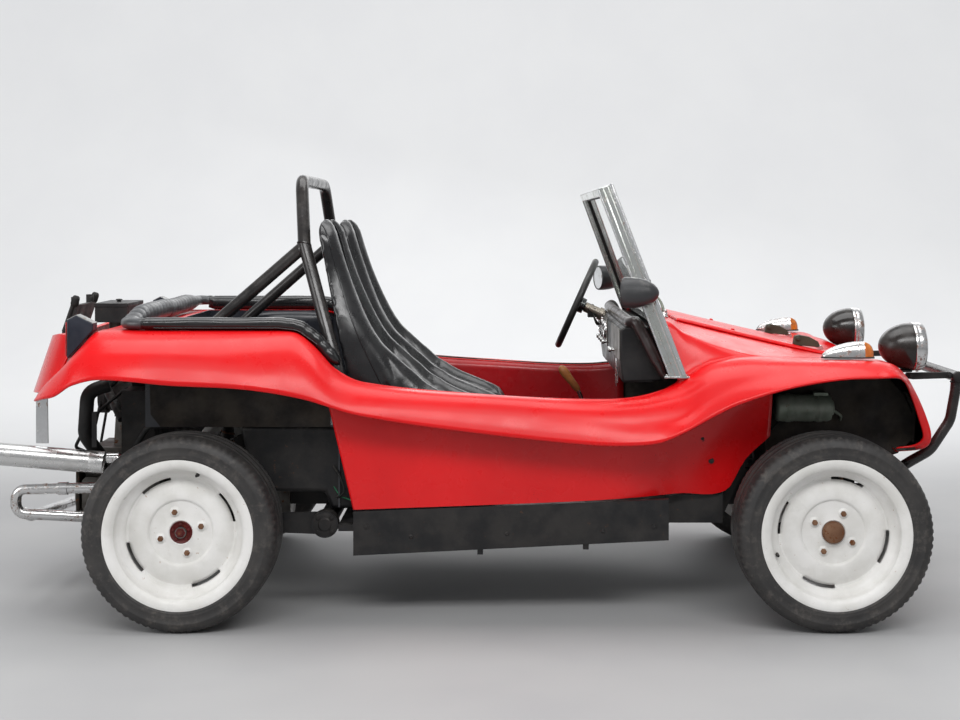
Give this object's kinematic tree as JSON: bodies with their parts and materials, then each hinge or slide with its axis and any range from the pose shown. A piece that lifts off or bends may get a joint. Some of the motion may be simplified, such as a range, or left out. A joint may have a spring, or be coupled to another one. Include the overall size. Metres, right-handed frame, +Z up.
{
  "type": "dune buggy",
  "caption": "Open short-wheelbase beach buggy with a moulded red body, bucket seats, roll bar, hinged bonnet lid, working steering and free-rolling wheels.",
  "frame": {"origin": "on the floor under the middle of the car", "axes": "+X forward, +Y to the driver's left, +Z up"},
  "size_m": [3.1499, 1.52, 1.4105],
  "materials": {
    "red_body": "gloss",
    "black_chassis": "satin",
    "cast_alloy": "matt",
    "black_tinware": "satin",
    "chrome_pipe": "polished",
    "polished_frame": "polished",
    "glass": "clear",
    "black_fittings": "satin",
    "dash_vinyl": "satin",
    "bare_column": "satin",
    "lever_wood": "gloss",
    "seat_vinyl": "satin",
    "well_vinyl": "satin",
    "black_tube": "satin",
    "indicator_chrome": "polished",
    "tyre_rubber": "matt",
    "white_wheel": "satin",
    "rusty_iron": "matt"
  },
  "bodies": {
    "chassis": {"floor_pan": "black_chassis", "body_shell": "red_body", "side_boxes": "black_chassis", "front_beam": "black_chassis", "shock_absorbers": "black_chassis", "rear_suspension": "black_chassis", "gearbox": "cast_alloy", "engine": "cast_alloy", "fan_housing": "black_tinware", "air_cleaner": "black_tinware", "exhaust_header": "chrome_pipe", "tail_silencer": "chrome_pipe", "windscreen_frame": "polished_frame", "windscreen_glass": "glass", "wipers": "black_fittings", "dashboard": "dash_vinyl", "steering_column": "bare_column", "cockpit_levers": "lever_wood", "right_seat": "seat_vinyl", "left_seat": "seat_vinyl", "rear_tub": "black_chassis", "rear_bench": "well_vinyl", "rear_coaming": "dash_vinyl", "roll_bar": "black_tube", "front_bumper": "black_tube", "headlamps": "black_fittings", "indicators": "indicator_chrome", "tail_lamps": "black_fittings", "plate_bracket": "black_fittings", "door_mirrors": "black_fittings", "fuel_tank": "black_chassis"},
    "steering_wheel": {"steering_wheel": "black_fittings"},
    "bonnet": {"bonnet_lid": "red_body"},
    "right_knuckle": {"right_knuckle": "black_chassis"},
    "left_knuckle": {"left_knuckle": "black_chassis"},
    "front_right_wheel": {"front_right_rim": "white_wheel", "front_right_tyre": "tyre_rubber", "front_right_drum": "rusty_iron"},
    "front_left_wheel": {"front_left_rim": "white_wheel", "front_left_tyre": "tyre_rubber", "front_left_drum": "rusty_iron"},
    "rear_right_wheel": {"rear_right_rim": "white_wheel", "rear_right_tyre": "tyre_rubber", "rear_right_drum": "rusty_iron"},
    "rear_left_wheel": {"rear_left_rim": "white_wheel", "rear_left_tyre": "tyre_rubber", "rear_left_drum": "rusty_iron"}
  },
  "joints": [
    {"name": "steering_turn", "type": "hinge", "parent": "chassis", "child": "steering_wheel", "pos_m": [0.358, 0.33, 0.948], "axis": [-0.9096, 0.0684, 0.4099], "range_deg": [-450, 450]},
    {"name": "right_steer", "type": "hinge", "parent": "chassis", "child": "right_knuckle", "pos_m": [1.092, -0.58, 0.3], "axis": [0, 0, 1], "range_deg": [-25, 25]},
    {"name": "left_steer", "type": "hinge", "parent": "chassis", "child": "left_knuckle", "pos_m": [1.092, 0.58, 0.3], "axis": [0, 0, 1], "range_deg": [-25, 25]},
    {"name": "front_right_roll", "type": "hinge", "parent": "right_knuckle", "child": "front_right_wheel", "pos_m": [1.092, -0.652, 0.3], "axis": [0, 1, 0], "continuous": true},
    {"name": "front_left_roll", "type": "hinge", "parent": "left_knuckle", "child": "front_left_wheel", "pos_m": [1.092, 0.652, 0.3], "axis": [0, 1, 0], "continuous": true},
    {"name": "rear_right_roll", "type": "hinge", "parent": "chassis", "child": "rear_right_wheel", "pos_m": [-0.908, -0.652, 0.3], "axis": [0, 1, 0], "continuous": true},
    {"name": "rear_left_roll", "type": "hinge", "parent": "chassis", "child": "rear_left_wheel", "pos_m": [-0.908, 0.652, 0.3], "axis": [0, 1, 0], "continuous": true},
    {"name": "bonnet_open", "type": "hinge", "parent": "chassis", "child": "bonnet", "pos_m": [0.6542, 0, 0.923], "axis": [0, -1, 0], "range_deg": [0, 55]}
  ],
  "couplings": [
    {"joint": "right_steer", "follows": "steering_turn", "ratio": 0.05555},
    {"joint": "left_steer", "follows": "steering_turn", "ratio": 0.05555}
  ]
}
